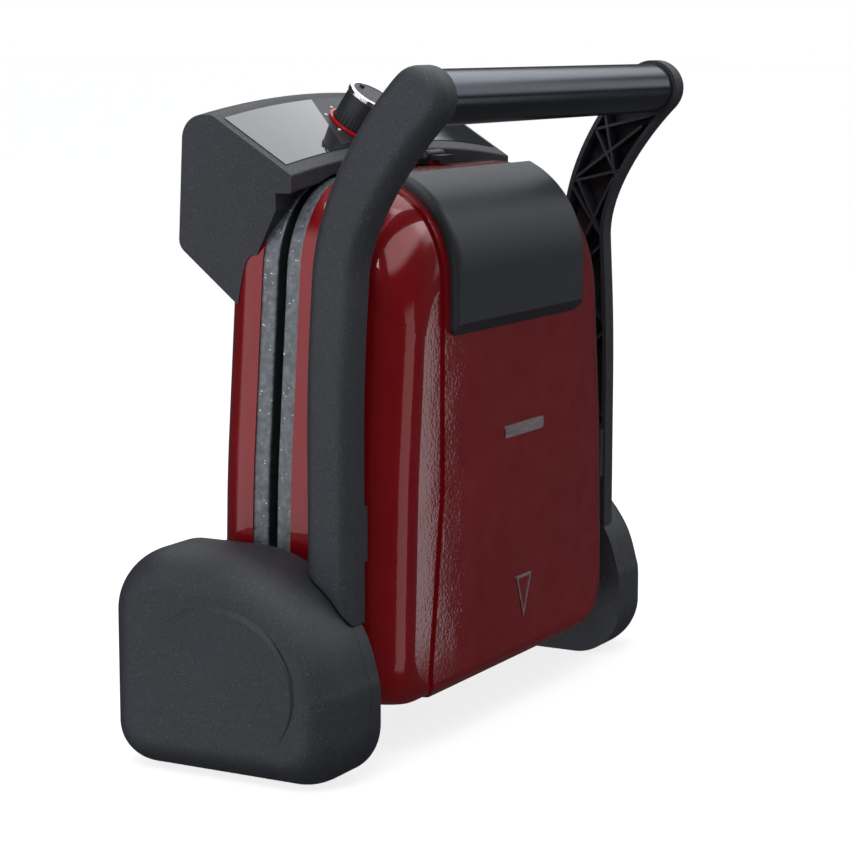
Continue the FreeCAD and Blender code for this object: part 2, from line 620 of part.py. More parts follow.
PANEL_HALF = 119.0
PANEL_LOW = 8.0
PANEL_HIGH = 53.0
PANEL_SINK = 1.3
PANEL_PROUD = 0.4
CENTRE_LOW_HALF = 57.0
CENTRE_HIGH_HALF = 23.0
panel_all = slope_loft(PANEL_HALF - 0.1, PANEL_LOW + 0.1, PANEL_HIGH - 0.1, 0.05 - PANEL_SINK, PANEL_PROUD)
box_shell = box_shell.cut(slope_loft(PANEL_HALF, PANEL_LOW, PANEL_HIGH, -PANEL_SINK, 6.0))
low_a = on_slope(-CENTRE_LOW_HALF, PANEL_LOW - 4, -12.0)
low_b = on_slope(CENTRE_LOW_HALF, PANEL_LOW - 4, -12.0)
high_b = on_slope(CENTRE_HIGH_HALF, PANEL_HIGH + 4, -12.0)
high_a = on_slope(-CENTRE_HIGH_HALF, PANEL_HIGH + 4, -12.0)
for point in (low_a, low_b, high_b, high_a):
    point.z = BOX_EDGE_Z - 20.0
centre_zone = slab(Part.makePolygon([low_a, low_b, high_b, high_a, low_a]), V(0, 0, 80))
panel_centre = panel_all.common(centre_zone)
panel_sides = panel_all.cut(centre_zone)

KNOB_S = 23.5
shaft_foot = on_slope(KNOB_X, KNOB_S, 0.0)
shaft_hole = rod(*(shaft_foot - OUT * 8), OUT, 16.0, SHAFT_R + 0.5)
box_shell = box_shell.cut(shaft_hole)
panel_centre = panel_centre.cut(shaft_hole)

# two lamp lenses beside the knob
LAMP_R = 2.6
lamps = []
for x in (KNOB_X + 44.0, KNOB_X + 54.0):
    foot = on_slope(x, KNOB_S, 0.0)
    lamp = rod(*(foot - OUT * 4.0), OUT, 4.0 + PANEL_PROUD + 0.5, LAMP_R)
    lamp_hole = rod(*(foot - OUT * 5.0), OUT, 10.0, LAMP_R + 0.05)
    box_shell = box_shell.cut(lamp_hole)
    panel_centre = panel_centre.cut(lamp_hole)
    panel_sides = panel_sides.cut(lamp_hole)
    lamps.append(lamp)
save("indicator_lamps", Part.makeCompound(lamps))
save("panel_centre", panel_centre)
save("control_panel", panel_sides)

# scale marks and the lit ring round the knob
marks = []
MARK_R = 20.3
for i in range(7):
    turn = math.radians(-135 + i * 45)
    side_v = V(1, 0, 0) * math.sin(turn) + ALONG * math.cos(turn)
    foot = shaft_foot + side_v * MARK_R + OUT * PANEL_PROUD
    rise = crown(foot.x) - crown(KNOB_X)
    dot = rod(foot.x, foot.y, foot.z + rise - 0.05, OUT, 0.5, 0.9)
    marks.append(dot.cut(panel_all))
save("dial_marks", Part.makeCompound(marks))
glow = ring(*(shaft_foot + OUT * (PANEL_PROUD - 0.1)), OUT, 1.2, KNOB_R + 2.2, KNOB_R + 0.8)
glow = glow.cut(panel_all)
save("dial_ring", glow)

# knob: ribbed body, chrome ring, flat dark cap with a pointer nub, shaft
base_h = PANEL_PROUD + KNOB_GAP
grip = Part.makeCone(KNOB_R, KNOB_R - 0.9, KNOB_H, shaft_foot + OUT * base_h, OUT)
for i in range(KNOB_RIDGES):
    turn = 2 * math.pi * i / KNOB_RIDGES
    side_v = V(1, 0, 0) * math.sin(turn) + ALONG * math.cos(turn)
    groove = rod(*(shaft_foot + side_v * (KNOB_R + 0.25) + OUT * (base_h - 1.0)), OUT, KNOB_H + 2.0, 0.75)
    grip = grip.cut(groove)
grip = grip.cut(rod(*(shaft_foot + OUT * (base_h - 1.0)), OUT, 13.1, SHAFT_R + 0.03))
save("knob_grip", grip)
trim = ring(*(shaft_foot + OUT * (base_h + KNOB_H)), OUT, KNOB_RING_H, KNOB_R - 0.3, KNOB_R - 2.6)
trim = bounded_fillet(trim, 0.8, lambda e: abs(e.Length - 2 * math.pi * (KNOB_R - 0.3)) < 0.2)
save("knob_ring", trim)
cap = rod(*(shaft_foot + OUT * (base_h + KNOB_H)), OUT, KNOB_RING_H - 0.3, KNOB_R - 2.6)
nub = rod(*(shaft_foot + OUT * (base_h + KNOB_H) + ALONG * (KNOB_R - 6.0)), OUT, KNOB_RING_H + 0.9, 1.4)
save("knob_cap", joined([cap, nub]))
shaft = rod(*(shaft_foot - OUT * 14.0), OUT, 14.0 + base_h + 12.0, SHAFT_R)
save("knob_shaft", shaft)
body = rod(*(shaft_foot - OUT * 16.0), OUT, 10.0, 10.0)
flange = rod(*(shaft_foot - OUT * 6.0), OUT, 2.0, 8.0)
thermostat = joined([body, flange]).cut(rod(*(shaft_foot - OUT * 15.0), OUT, 30.0, SHAFT_R + RUNNING))
save("thermostat", thermostat)

# lock hook on the box lip, with its ears, pin and the catch on the lid
HOOK_X = 22.0
HOOK_Y = 9.9
HOOK_Z = 313.8
HOOK_HALF = 7.0
HOOK_PIN_R = 1.5
HOOK_SHEET = 1.4             # thickness of the hook's tongue and of the catch
HOOK_TIP_Y = 0.0
CATCH_Y = HOOK_TIP_Y + HOOK_SHEET + 3.9
ears = []
for side in (-1, 1):
    x0 = HOOK_X + side * (HOOK_HALF + 0.5)
    x1 = HOOK_X + side * (HOOK_HALF + 2.7)
    ear = box(min(x0, x1), max(x0, x1), HOOK_Y, BOX_FRONT_Y - 3.4, HOOK_Z - 2.4, HOOK_Z + 2.4)
    ear = ear.fuse(rod(min(x0, x1), HOOK_Y, HOOK_Z, V(1, 0, 0), 2.2, 2.4))
    ears.append(ear)
box_shell = joined([box_shell] + ears)
hook_pin = rod(HOOK_X - HOOK_HALF - 2.7, HOOK_Y, HOOK_Z, V(1, 0, 0), 2 * (HOOK_HALF + 2.7), HOOK_PIN_R)
box_shell = box_shell.cut(hook_pin)
hook = rod(HOOK_X - HOOK_HALF, HOOK_Y, HOOK_Z, V(1, 0, 0), 2 * HOOK_HALF, 2.5)
hook = hook.fuse(box(HOOK_X - HOOK_HALF, HOOK_X + HOOK_HALF, HOOK_TIP_Y, HOOK_Y, HOOK_Z - 2.0, HOOK_Z - 0.4))
hook = hook.fuse(box(HOOK_X - HOOK_HALF, HOOK_X + HOOK_HALF, HOOK_TIP_Y, HOOK_TIP_Y + HOOK_SHEET,
                     HOOK_Z - 5.2, HOOK_Z - 0.4))
hook = hook.cut(rod(HOOK_X - HOOK_HALF - 1, HOOK_Y, HOOK_Z, V(1, 0, 0), 2 * HOOK_HALF + 2, HOOK_PIN_R + RUNNING))
save("lock_hook", hook.removeSplitter())
save("lock_pin", hook_pin)
catch = box(HOOK_X - 9.0, HOOK_X + 9.0, CATCH_Y, CATCH_Y + HOOK_SHEET, BODY_TOP - 2.2, HOOK_Z - 3.2)
lid_shell = joined([lid_shell, catch])
save("lid_shell", lid_shell)

# ================================================================ pods
POD_CY = HINGE_Y
POD_CZ = 40.0


def pod_outline(x, d):
    """Pod side outline moved in by d: quarter ellipse at the top front, rounded elsewhere."""
    front = POD_FRONT_Y + d
    back = POD_BACK_Y - d
    top = POD_TOP_Z - d
    floor = d
    r_front = POD_CORNER_FRONT - d
    r_back = POD_CORNER_BACK - d
    r_top = POD_CORNER_TOP - d
    half = math.sqrt(0.5)
    big_y = POD_CY - front
    big_z = top - POD_CZ
    curve = Part.BSplineCurve()
    through = []
    for i in range(9):
        turn = math.pi / 2 * i / 8
        through.append(V(x, POD_CY - big_y * math.sin(turn), POD_CZ + big_z * math.cos(turn)))
    curve.interpolate(Points=through, InitialTangent=V(0, -1, 0), FinalTangent=V(0, 0, -1))
    edges = [curve.toShape()]
    edges.append(Part.makeLine(V(x, front, POD_CZ), V(x, front, floor + r_front)))
    edges.append(Part.Arc(V(x, front, floor + r_front),
                          V(x, front + r_front * (1 - half), floor + r_front * (1 - half)),
                          V(x, front + r_front, floor)).toShape())
    edges.append(Part.makeLine(V(x, front + r_front, floor), V(x, back - r_back, floor)))
    edges.append(Part.Arc(V(x, back - r_back, floor),
                          V(x, back - r_back * (1 - half), floor + r_back * (1 - half)),
                          V(x, back, floor + r_back)).toShape())
    edges.append(Part.makeLine(V(x, back, floor + r_back), V(x, back, top - r_top)))
    edges.append(Part.Arc(V(x, back, top - r_top),
                          V(x, back - r_top * (1 - half), top - r_top * (1 - half)),
                          V(x, back - r_top, top)).toShape())
    edges.append(Part.makeLine(V(x, back - r_top, top), V(x, POD_CY, top)))
    return Part.Wire(edges)


POD_FACE_X = POD_OUTER_X - EMBOSS
cover_start = POD_SPLIT_X + 0.3
roll_start = POD_FACE_X - POD_ROLL
roll = [pod_outline(roll_start, 0.0)]
ROLL_STEPS = 9
for i in range(1, ROLL_STEPS + 1):
    turn = math.pi / 2 * i / ROLL_STEPS
    roll.append(pod_outline(roll_start + POD_ROLL * math.sin(turn), POD_ROUND * (1.0 - math.cos(turn))))
pod = slab(pod_outline(cover_start, 0.0), V(roll_start - cover_start, 0, 0)).fuse(Part.makeLoft(roll, True, False))
hollow_steps = []
for inward, short in ((POD_WALL, POD_ROLL), (POD_WALL + 6.0, POD_WALL + 10.0), (POD_ROUND - 1.0, POD_WALL)):
    hollow_steps.append(slab(pod_outline(cover_start - 1.0, inward), V(POD_FACE_X - short - cover_start + 1.0, 0, 0)))
hollow = joined(hollow_steps)
# shallow raised field that fades out away from its curved edge
FIELD_Y = 16.0
FIELD_Z = 52.0
FIELD_A = 46.0
FIELD_B = 41.0
FIELD_SLOPE = 1.5            # run of the field's soft edge for one of rise
field_wires = []
for rise in (-1.0, EMBOSS + 3.0):
    grown = -FIELD_SLOPE * rise
    ellipse = Part.Ellipse(V(0, FIELD_A + grown, 0), V(0, 0, FIELD_B + grown), V(0, 0, 0))
    field_wire = Part.Wire([ellipse.toShape()])
    field_wire.translate(V(POD_FACE_X + rise, FIELD_Y, FIELD_Z))
    field_wires.append(field_wire)
field = Part.makeLoft(field_wires, True, True)
LEAN_DIR = V(0, -0.62, 0.785)
FADE = 40.0
tilt = math.atan2(EMBOSS, FADE)
block = Part.makeBox(60, 400, 400, V(0, -200, -200))
side_dir = V(1, 0, 0).cross(LEAN_DIR)
block.rotate(V(0, 0, 0), side_dir, -math.degrees(tilt))
block.translate(V(POD_FACE_X, FIELD_Y, FIELD_Z))
raised = field.cut(block)
raised = raised.common(slab(pod_outline(POD_FACE_X - 0.5, POD_ROUND + 1.5), V(EMBOSS + 6.0, 0, 0)))
pod = pod.fuse(raised).cut(hollow)
pod_solids = sorted(pod.Solids, key=lambda q: -q.Volume)
pod_right = pod_solids[0]
POD_SCREWS = ((-24.0, 40.0), (62.0, 34.0), (50.0, 90.0))
POD_SCREW_R = 1.48
cover_posts = []
for y, z in POD_SCREWS:
    cover_posts.append(ring(cover_start + 0.5, y, z, V(1, 0, 0), POD_FACE_X - cover_start - 2.0,
                            4.5, POD_SCREW_R + SCREW_FIT))
pod_right = joined([pod_right] + cover_posts)
save("pod_cover_right", pod_right)
save("pod_cover_left", mirror_x(pod_right))

housing = slab(pod_outline(POD_INNER_X, 0.0), V(POD_SPLIT_X - POD_INNER_X, 0, 0))
housing = housing.cut(slab(pod_outline(POD_INNER_X + POD_WALL, POD_WALL), V(20, 0, 0)))
housing = housing.fuse(rod(POD_INNER_X, HINGE_Y, HINGE_Z, V(1, 0, 0), POD_SPLIT_X - POD_INNER_X - 0.5, 12.0))
housing = housing.cut(rod(POD_INNER_X - 1, HINGE_Y, HINGE_Z, V(1, 0, 0), 9.0, HINGE_PIN_R))
pod_screw_places = []
for y, z in POD_SCREWS:
    housing = housing.cut(rod(POD_INNER_X - 1, y, z, V(1, 0, 0), 20.0, 1.5))
    housing = housing.cut(rod(POD_INNER_X - 1, y, z, V(1, 0, 0), 3.2, 3.4))
    housing = housing.fuse(ring(POD_INNER_X + 2.2, y, z, V(1, 0, 0), POD_SPLIT_X - POD_INNER_X - 2.4, 5.0, 1.5))
    pod_screw_places.append((POD_INNER_X + 0.3, y, z))
housing = housing.removeSplitter()
save("pod_housing_right", housing)
save("pod_housing_left", mirror_x(housing))
right_screws = screws(pod_screw_places, V(1, 0, 0), 3.2, 1.9, POD_SCREW_R, 14.0)
save("pod_screws", Part.makeCompound([right_screws, mirror_x(right_screws)]))
pin = rod(WEB_INNER_X - 0.2, HINGE_Y, HINGE_Z, V(1, 0, 0), POD_SPLIT_X - WEB_INNER_X - 2.6, HINGE_PIN_R)
pin = pin.fuse(rod(WEB_INNER_X - 1.4, HINGE_Y, HINGE_Z, V(1, 0, 0), 1.2, HINGE_PIN_R + 3.0))
save("hinge_pins", Part.makeCompound([pin, mirror_x(pin)]))

# ================================================================ handle
def bezier(points):
    curve = Part.BezierCurve()
    curve.setPoles(points)
    return curve.toShape()


def arm_outline(x, d, low):
    front = ARM_FRONT_Y + d
    back = ARM_BACK_Y - d
    r = ARM_END_R - d
    h = math.sqrt(0.5) * r
    lower = V(x, BAR_Y - h, BAR_Z - h)
    upper = V(x, BAR_Y + h, BAR_Z + h)
    edges = [Part.makeLine(V(x, back, low), V(x, front, low))]
    edges.append(Part.makeLine(V(x, front, low), V(x, front, ARM_BEND_Z)))
    edges.append(bezier([V(x, front, ARM_BEND_Z), V(x, front, ARM_BEND_Z + 26.7 + 0.4 * d),
                         lower + V(0, 19.1, -19.1), lower]))
    edges.append(Part.Arc(lower, V(x, BAR_Y - h, BAR_Z + h), upper).toShape())
    edges.append(bezier([upper, upper + V(0, 20.6, -20.6), V(x, back, ARM_BEND_Z + 41.9 - 0.4 * d),
                         V(x, back, ARM_BEND_Z)]))
    edges.append(Part.makeLine(V(x, back, ARM_BEND_Z), V(x, back, low)))
    return Part.Wire(edges)


def link(c1, r1, c2, r2, x0, x1):
    """Plate shaped like two discs joined by their outer tangents."""
    dy = c2[0] - c1[0]
    dz = c2[1] - c1[1]
    far = math.hypot(dy, dz)
    base_turn = math.atan2(dz, dy)
    open_turn = math.acos((r1 - r2) / far)
    pts = []
    for sign, centre, radius in ((1, c1, r1), (1, c2, r2), (-1, c2, r2), (-1, c1, r1)):
        a = base_turn + sign * open_turn
        pts.append(V(x0, centre[0] + radius * math.cos(a), centre[1] + radius * math.sin(a)))
    pts.append(pts[0])
    plate_part = slab(Part.makePolygon(pts), V(x1 - x0, 0, 0))
    one = rod(x0, c1[0], c1[1], V(1, 0, 0), x1 - x0, r1)
    two = rod(x0, c2[0], c2[1], V(1, 0, 0), x1 - x0, r2)
    return plate_part.fuse(one).fuse(two)


ARM_FOOT_Z = 75.0
ARM_WIDE_FRONT_Y = -130.0
ARM_WIDE_BACK_Y = 20.0


def arm_band(inner, outer, low):
    """Band bowed outwards below the bar, as wide in X as the arm, inner to outer from its inner face."""
    top = OVERALL_HEIGHT + 5.0
    corners = [(ARM_LOW_X + inner, low), (ARM_LOW_X + outer, low), (ARM_LOW_X + outer, ARM_BOW_LOW_Z),
               (ARM_INNER_X + outer, ARM_BOW_TOP_Z), (ARM_INNER_X + outer, top), (ARM_INNER_X + inner, top),
               (ARM_INNER_X + inner, ARM_BOW_TOP_Z), (ARM_LOW_X + inner, ARM_BOW_LOW_Z)]
    radii = [0.0, 0.0, ARM_BOW_R, ARM_BOW_R, 0.0, 0.0, ARM_BOW_R, ARM_BOW_R]
    return slab(rounded(corners, radii, on_xz(ARM_WIDE_FRONT_Y)), V(0, ARM_WIDE_BACK_Y - ARM_WIDE_FRONT_Y, 0))


def arm_prism(d, low):
    return slab(arm_outline(ARM_INNER_X - 20.0, d, low), V(ARM_WIDTH + 60.0, 0, 0))


arm = arm_prism(0.0, ARM_FOOT_Z).common(arm_band(0.0, ARM_WIDTH, ARM_FOOT_Z - 5.0))


def arm_outer_edge(edge):
    middle = edge.valueAt((edge.FirstParameter + edge.LastParameter) / 2)
    wide = ARM_INNER_X + ARM_WIDTH - 1.0 if middle.z > ARM_BOW_TOP_Z + 32 else ARM_INNER_X + ARM_WIDTH + 0.5
    if middle.z < ARM_BOW_LOW_Z:
        wide = ARM_LOW_X + ARM_WIDTH - 1.0
    return middle.x > wide and edge.BoundBox.ZMax > ARM_FOOT_Z + 1.0


arm = bounded_fillet(arm, ARM_ROUND, arm_outer_edge)
ARM_HOLLOW_LOW = 145.0
cavity = arm_prism(ARM_WALL, ARM_HOLLOW_LOW).common(arm_band(-1.0, ARM_WIDTH - ARM_SKIN, ARM_HOLLOW_LOW - 5.0))
boss = rod(ARM_INNER_X - 20, BAR_Y, BAR_Z, V(1, 0, 0), ARM_WIDTH + 40, ARM_END_R - 0.1)
cavity = cavity.cut(boss)
ribs = []
rib_nodes = [(-0.5, 333.0), (0.5, 325.0), (-0.5, 300.0), (0.5, 293.0), (-0.5, 257.0), (0.5, 235.0),
             (-0.5, 205.0), (0.5, 175.0), (-0.5, 147.0)]


def arm_middle(z):
    """Middle of the arm in Y at height z, following the forward bend."""
    if z <= ARM_BEND_Z:
        return (ARM_FRONT_Y + ARM_BACK_Y) / 2
    part = (z - ARM_BEND_Z) / (BAR_Z - ARM_BEND_Z)
    return (ARM_FRONT_Y + ARM_BACK_Y) / 2 + (BAR_Y - (ARM_FRONT_Y + ARM_BACK_Y) / 2) * part ** 2.2


def rib_between(y0, z0, y1, z1):
    length = math.hypot(y1 - y0, z1 - z0)
    bar = Part.makeBox(ARM_WIDTH + 30.0, length + 8.0, ARM_RIB)
    bar.translate(V(0, -4.0, -ARM_RIB / 2))
    bar.rotate(V(0, 0, 0), V(1, 0, 0), math.degrees(math.atan2(z1 - z0, y1 - y0)))
    bar.translate(V(ARM_INNER_X + 1.0, y0, z0))
    return bar


WIDE = 27.0
for i in range(len(rib_nodes) - 1):
    s0, z0 = rib_nodes[i]
    s1, z1 = rib_nodes[i + 1]
    ribs.append(rib_between(arm_middle(z0) + s0 * WIDE, z0, arm_middle(z1) + s1 * WIDE, z1))
    if i + 2 < len(rib_nodes) and i < 4:
        s2, z2 = rib_nodes[i + 2]
        ribs.append(rib_between(arm_middle(z0) - s0 * WIDE, z0, arm_middle(z2) + s2 * WIDE, z2))
rib_zone = cavity.common(arm_band(1.0, ARM_WIDTH - ARM_SKIN, ARM_HOLLOW_LOW - 5.0))
arm = arm.cut(cavity)
for rib in ribs:
    arm = arm.fuse(rib.common(rib_zone))
arm = joined([arm])
# the lower end clears the pod's curved edge all the way round
clear_pod = slab(pod_outline(WEB_OUTER_X - 0.01, -ARM_POD_GAP), V(ARM_WIDTH + 20.0, 0, 0))
arm = arm.cut(clear_pod)
WEB_JOIN_Z = 113.0
web = link((HINGE_Y, HINGE_Z), HUB_R, (TRUNNION_Y, TRUNNION_Z), TRUNNION_HUB_R, WEB_INNER_X, WEB_OUTER_X)
web_top = ((ARM_FRONT_Y + ARM_BACK_Y) / 2 + 1.0, WEB_JOIN_Z)
web = web.fuse(link((TRUNNION_Y, TRUNNION_Z), TRUNNION_HUB_R, web_top, 12.0, WEB_INNER_X, WEB_OUTER_X))
web = web.fuse(box(WEB_INNER_X, WEB_OUTER_X, ARM_FRONT_Y + 0.9, ARM_BACK_Y - 0.9, WEB_JOIN_Z, ARM_HOLLOW_LOW - 3.0))
arm_right = joined([arm, web])
arm_right = arm_right.cut(rod(WEB_INNER_X - 1, HINGE_Y, HINGE_Z, V(1, 0, 0), 8.0, HINGE_PIN_R + RUNNING))
arm_right = arm_right.cut(rod(WEB_INNER_X - 1, TRUNNION_Y, TRUNNION_Z, V(1, 0, 0), 8.0, TRUNNION_R + RUNNING))
arm_right = arm_right.cut(rod(ARM_INNER_X - 1, BAR_Y, BAR_Z, V(1, 0, 0), BAR_SOCKET + 1.0, BAR_R))
save("arm_right", arm_right)
save("arm_left", mirror_x(arm_right))
bar_half = ARM_INNER_X + BAR_SOCKET
save("handle_bar", ring(-bar_half, BAR_Y, BAR_Z, V(1, 0, 0), 2 * bar_half, BAR_R, BAR_R - BAR_WALL))
plug = rod(bar_half - 26.0, BAR_Y, BAR_Z, V(1, 0, 0), 26.0, BAR_R - BAR_WALL)
plug = plug.cut(rod(bar_half - 27.0, BAR_Y, BAR_Z, V(1, 0, 0), 20.0, 8.0))
save("bar_plugs", Part.makeCompound([plug, mirror_x(plug)]))

# ================================================================ feet, inlet, electrics
FOOT_R = 8.0
FOOT_END = OVERALL_DEPTH / 2
FOOT_X = 164.5
FOOT_LOW_Z = 52.0
FOOT_HIGH_Z = 297.0
feet = []
for side in (-1, 1):
    feet.append(rod(side * FOOT_X, POD_BACK_Y, FOOT_LOW_Z, V(0, 1, 0), FOOT_END - POD_BACK_Y, FOOT_R))
    foot = rod(side * 96.0, BOX_BACK_Y - 2.6, FOOT_HIGH_Z, V(0, 1, 0), FOOT_END - BOX_BACK_Y + 2.6, FOOT_R)
    box_shell = box_shell.cut(rod(side * 96.0, BOX_BACK_Y - 2.7, FOOT_HIGH_Z, V(0, 1, 0), 20.0, FOOT_R + 0.1))
    feet.append(foot)
save("counter_feet", Part.makeCompound(feet))
save("control_box", box_shell)

INLET_X = 96.0
INLET_Y = 68.9
inlet = ring(INLET_X, INLET_Y, COVER_LOW - 7.0, V(0, 0, 1), 7.0, 6.5, 3.6)
inlet = inlet.fuse(ring(INLET_X, INLET_Y, COVER_LOW - 1.2, V(0, 0, 1), 1.2, 8.6, 3.6))
inlet = inlet.fuse(ring(INLET_X, INLET_Y, COVER_LOW, V(0, 0, 1), 6.0, 5.6, 3.6)).removeSplitter()
cover = cover.cut(rod(INLET_X, INLET_Y, COVER_LOW - 1.0, V(0, 0, 1), 5.0, 5.6))
save("cord_inlet", inlet)
save("base_bottom_cover", cover)
block = box(18.0, 62.0, BASE_RIM + 10.4, BASE_RIM + 20.4, COVER_LOW + 6.0, COVER_LOW + 20.0)
for i in range(3):
    block = block.cut(rod(26.0 + i * 14.0, BASE_RIM + 16.0, COVER_LOW + 13.0, V(0, 1, 0), 10.0, 2.6))
    block = block.cut(rod(26.0 + i * 14.0, BASE_RIM + 15.4, COVER_LOW + 1.0, V(0, 0, 1), 40.0, 1.5))
save("terminal_block", block)
fuse = rod(-14.0, BASE_RIM + 12.6, 115.0, V(1, 0, 0), 28.0, 3.2)
save("thermal_fuse", fuse)
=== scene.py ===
# Looks for the contact grill: materials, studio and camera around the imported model.
import math
import bpy
from mathutils import Matrix, Vector

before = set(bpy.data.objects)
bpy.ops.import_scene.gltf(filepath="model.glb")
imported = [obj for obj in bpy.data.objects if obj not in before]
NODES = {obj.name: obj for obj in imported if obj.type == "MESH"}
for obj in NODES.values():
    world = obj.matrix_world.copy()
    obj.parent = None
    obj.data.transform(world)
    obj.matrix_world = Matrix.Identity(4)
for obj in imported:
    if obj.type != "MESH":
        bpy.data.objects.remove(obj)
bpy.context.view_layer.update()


# ---------------------------------------------------------------- node helpers
class Graph:
    """A material's node tree with short ways to add and join nodes."""

    def __init__(self, name):
        self.material = bpy.data.materials.new(name)
        self.material.use_nodes = True
        self.tree = self.material.node_tree
        self.tree.nodes.clear()
        self.out = self.tree.nodes.new("ShaderNodeOutputMaterial")
        self.shader = self.tree.nodes.new("ShaderNodeBsdfPrincipled")
        self.join(self.shader.outputs["BSDF"], self.out.inputs["Surface"])

    def join(self, source, target):
        self.tree.links.new(source, target)

    def add(self, kind, **settings):
        node = self.tree.nodes.new(kind)
        for key, value in settings.items():
            setattr(node, key, value)
        return node

    def set(self, **values):
        for key, value in values.items():
            socket = self.shader.inputs[key.replace("_", " ")]
            socket.default_value = value

    def place(self, scale=(1, 1, 1)):
        coords = self.add("ShaderNodeTexCoord")
        mapping = self.add("ShaderNodeMapping")
        mapping.inputs["Scale"].default_value = scale
        self.join(coords.outputs["Object"], mapping.inputs["Vector"])
        return mapping.outputs["Vector"]

    def noise(self, scale, detail=3.0, rough=0.5, stretch=(1, 1, 1)):
        node = self.add("ShaderNodeTexNoise")
        node.inputs["Scale"].default_value = scale
        node.inputs["Detail"].default_value = detail
        node.inputs["Roughness"].default_value = rough
        self.join(self.place(stretch), node.inputs["Vector"])
        return node.outputs["Fac"]

    def cells(self, scale):
        node = self.add("ShaderNodeTexVoronoi", feature="F1")
        node.inputs["Scale"].default_value = scale
        self.join(self.place(), node.inputs["Vector"])
        return node

    def ramp(self, source, stops):
        node = self.add("ShaderNodeValToRGB")
        ramp = node.color_ramp
        while len(ramp.elements) < len(stops):
            ramp.elements.new(0.5)
        for element, (place, colour) in zip(ramp.elements, stops):
            element.position = place
            element.color = (*colour, 1.0) if len(colour) == 3 else colour
        self.join(source, node.inputs["Fac"])
        return node.outputs["Color"]

    def spread(self, source, low, high, from_low=0.3, from_high=0.7):
        node = self.add("ShaderNodeMapRange")
        node.inputs["From Min"].default_value = from_low
        node.inputs["From Max"].default_value = from_high
        node.inputs["To Min"].default_value = low
        node.inputs["To Max"].default_value = high
        self.join(source, node.inputs["Value"])
        return node.outputs["Result"]

    def maths(self, kind, a, b):
        node = self.add("ShaderNodeMath", operation=kind)
        for socket, value in zip(node.inputs, (a, b)):
            if isinstance(value, (int, float)):
                socket.default_value = value
            else:
                self.join(value, socket)
        return node.outputs["Value"]

    def mix(self, fac, a, b, blend="MIX"):
        node = self.add("ShaderNodeMix", data_type="RGBA", blend_type=blend)
        for key, value in (("Factor", fac), ("A", a), ("B", b)):
            socket = node.inputs[key]
            if isinstance(value, (int, float)):
                socket.default_value = value
            elif isinstance(value, tuple):
                socket.default_value = (*value, 1.0)
            else:
                self.join(value, socket)
        return node.outputs["Result"]

    def bump(self, height, strength, distance, below=None):
        node = self.add("ShaderNodeBump")
        node.inputs["Strength"].default_value = strength
        node.inputs["Distance"].default_value = distance
        self.join(height, node.inputs["Height"])
        if below is not None:
            self.join(below, node.inputs["Normal"])
        return node.outputs["Normal"]

    def drive(self, **links):
        for key, source in links.items():
            self.join(source, self.shader.inputs[key.replace("_", " ")])


def red_enamel():
    g = Graph("red_enamel")
    g.set(Metallic=0.42, IOR=1.5, Specular_IOR_Level=0.15)
    g.set(Coat_Weight=1.0, Coat_Roughness=0.02, Coat_IOR=1.5)
    cloud = g.noise(14.0, 3.0)
    base = g.ramp(cloud, [(0.3, (0.165, 0.0014, 0.0040)), (0.7, (0.195, 0.0018, 0.0050))])
    flecks = g.cells(2600.0)
    flash = g.ramp(flecks.outputs["Color"], [(0.72, (0.0, 0.0, 0.0)), (1.0, (0.03, 0.002, 0.003))])
    g.drive(Base_Color=g.mix(1.0, base, flash, "ADD"))
    peel = g.noise(520.0, 1.0, 0.4)
    wave = g.noise(30.0, 1.0)
    soft = g.bump(wave, 0.012, 0.004)
    g.drive(Coat_Normal=g.bump(peel, 0.02, 0.0006, soft), Normal=soft)
    dust = g.spread(g.noise(60.0, 4.0), 0.30, 0.44)
    g.drive(Roughness=dust)
    return g.material


def moulded_black(name, tone, rough, grain_scale, grain_height, sparkle):
    g = Graph(name)
    g.set(Metallic=0.0, IOR=1.49, Specular_IOR_Level=0.5)
    grain = g.noise(grain_scale, 4.0, 0.6)
    pits = g.cells(grain_scale * 0.9)
    cloud = g.noise(9.0, 4.0)
    dark = tuple(v * 0.82 for v in tone)
    light = tuple(v * 1.2 for v in tone)
    base = g.ramp(cloud, [(0.25, dark), (0.75, light)])
    glint = (sparkle, sparkle, sparkle * 1.08)
    spark = g.ramp(pits.outputs["Color"], [(0.80, (0.0, 0.0, 0.0)), (1.0, glint)])
    g.drive(Base_Color=g.mix(1.0, base, spark, "ADD"))
    height = g.maths("ADD", grain, g.maths("MULTIPLY", pits.outputs["Distance"], 0.7))
    g.drive(Normal=g.bump(height, 0.55, grain_height))
    g.drive(Roughness=g.spread(g.noise(grain_scale * 0.4, 3.0), rough - 0.07, rough + 0.07))
    return g.material


def gloss_black():
    g = Graph("gloss_black")
    g.set(Metallic=0.0, IOR=1.52, Coat_Weight=1.0, Coat_Roughness=0.02)
    cloud = g.noise(30.0, 3.0)
    g.drive(Base_Color=g.ramp(cloud, [(0.3, (0.010, 0.011, 0.014)), (0.7, (0.016, 0.018, 0.022))]))
    smear = g.noise(90.0, 5.0, 0.6, (1, 3, 1))
    g.drive(Roughness=g.spread(smear, 0.05, 0.13))
    g.drive(Normal=g.bump(g.noise(40.0, 2.0), 0.03, 0.001))
    return g.material


def anodised():
    g = Graph("anodised_bar")
    g.set(Metallic=0.95, IOR=1.5)
    fine = g.noise(900.0, 3.0, 0.6, (0.05, 1, 1))
    cloud = g.noise(16.0, 3.0)
    tone = g.ramp(cloud, [(0.3, (0.100, 0.108, 0.128)), (0.7, (0.112, 0.121, 0.143))])
    g.drive(Base_Color=tone)
    g.drive(Roughness=g.spread(fine, 0.17, 0.21))
    g.drive(Normal=g.bump(fine, 0.02, 0.0001))
    return g.material


